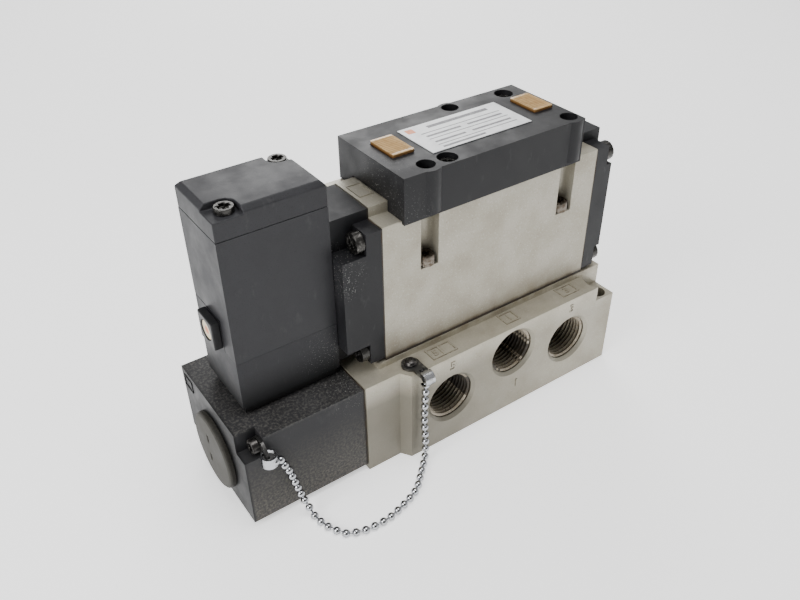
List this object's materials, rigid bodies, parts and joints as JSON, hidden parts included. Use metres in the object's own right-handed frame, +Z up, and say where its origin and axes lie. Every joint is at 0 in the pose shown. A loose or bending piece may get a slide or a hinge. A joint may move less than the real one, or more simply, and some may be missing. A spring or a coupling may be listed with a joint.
{
  "type": "solenoid directional valve",
  "caption": "Base-mounted, pilot-operated spool valve: silver body and ported sub-plate, black end pieces, tall solenoid pilot, indicator cover and junction cover on a captive ball chain.",
  "frame": {"origin": "centre of the footprint, on the surface that the valve stands on (chain left out)", "axes": "+X along the valve from the pilot solenoid to the end plate, +Y from the front ports to the rear ports, +Z up"},
  "size_m": [0.142, 0.0641, 0.0982],
  "materials": {
    "silver_paint": "satin champagne-silver paint on die-cast aluminium",
    "gasket_rubber": "matte dark rubber",
    "black_resin": "satin black moulded resin, slightly dusty",
    "grey_resin": "satin dark grey moulded resin",
    "plug_resin": "matte grey-green moulded resin",
    "chain_chrome": "bright nickel plate",
    "steel": "ground steel",
    "bolt_steel": "knurled socket head, slightly stained",
    "screw_steel": "dark zinc plate with a bright recess",
    "black_steel": "black oxide steel",
    "lens_amber": "ribbed amber lens",
    "button_cream": "cream moulded button with an orange centre",
    "override_black": "black moulded boss",
    "label_film": "printed film",
    "copper_wire": "enamelled copper wire",
    "circuit_board": "green solder resist"
  },
  "bodies": {
    "valve": {"adapter_gasket": "gasket_rubber", "adapter_plate": "black_resin", "adapter_screw_1": "screw_steel", "adapter_screw_2": "screw_steel", "adapter_screw_3": "screw_steel", "adapter_screw_4": "screw_steel", "ball_chain": "chain_chrome", "body_bolt_1": "bolt_steel", "body_bolt_2": "bolt_steel", "body_bolt_3": "bolt_steel", "cap_screw_1": "screw_steel", "cap_screw_2": "screw_steel", "chain_clasp_cover": "chain_chrome", "chain_clasp_plate": "chain_chrome", "chain_lug_cover": "black_steel", "chain_lug_plate": "black_steel", "chain_screw": "black_steel", "coil_bobbin": "grey_resin", "coil_winding": "copper_wire", "cover_screw_1": "screw_steel", "cover_screw_2": "screw_steel", "end_gasket": "gasket_rubber", "end_plate": "black_resin", "end_plate_screw_1": "screw_steel", "end_plate_screw_2": "screw_steel", "end_plate_screw_3": "screw_steel", "end_plate_screw_4": "screw_steel", "entry_plug": "plug_resin", "fixed_core": "steel", "junction_cover": "black_resin", "junction_gasket": "gasket_rubber", "junction_screw_1": "black_steel", "junction_screw_2": "black_steel", "lamp_board": "circuit_board", "lamp_lens_left": "lens_amber", "lamp_lens_right": "lens_amber", "name_label": "label_film", "override_housing": "override_black", "override_spring": "steel", "pilot_base": "grey_resin", "pilot_body": "black_resin", "pilot_cap": "black_resin", "plate_gasket": "gasket_rubber", "plug_connector": "grey_resin", "plunger_spring": "steel", "return_spring": "steel", "spool_sleeve": "steel", "sub_plate": "silver_paint", "terminal_block": "grey_resin", "top_cover": "black_resin", "valve_body": "silver_paint"},
    "spool_assembly": {"spool": "steel", "pilot_piston": "black_resin", "spring_retainer": "steel"},
    "plunger_assembly": {"plunger": "steel"},
    "override": {"override_button": "button_cream"}
  },
  "joints": [
    {"name": "spool_slide", "type": "slide", "parent": "valve", "child": "spool_assembly", "axis": [1, 0, 0], "range_m": [0, 0.0035], "stiffness_N_per_m": 2000, "springref_m": -0.002, "deforming": ["return_spring"]},
    {"name": "plunger_slide", "type": "slide", "parent": "valve", "child": "plunger_assembly", "axis": [0, 0, 1], "range_m": [0, 0.001], "stiffness_N_per_m": 400, "springref_m": -0.002, "deforming": ["plunger_spring"]},
    {"name": "override_slide", "type": "slide", "parent": "valve", "child": "override", "axis": [1, 0, 0], "range_m": [0, 0.0015], "stiffness_N_per_m": 800, "springref_m": -0.001, "deforming": ["override_spring"]}
  ]
}
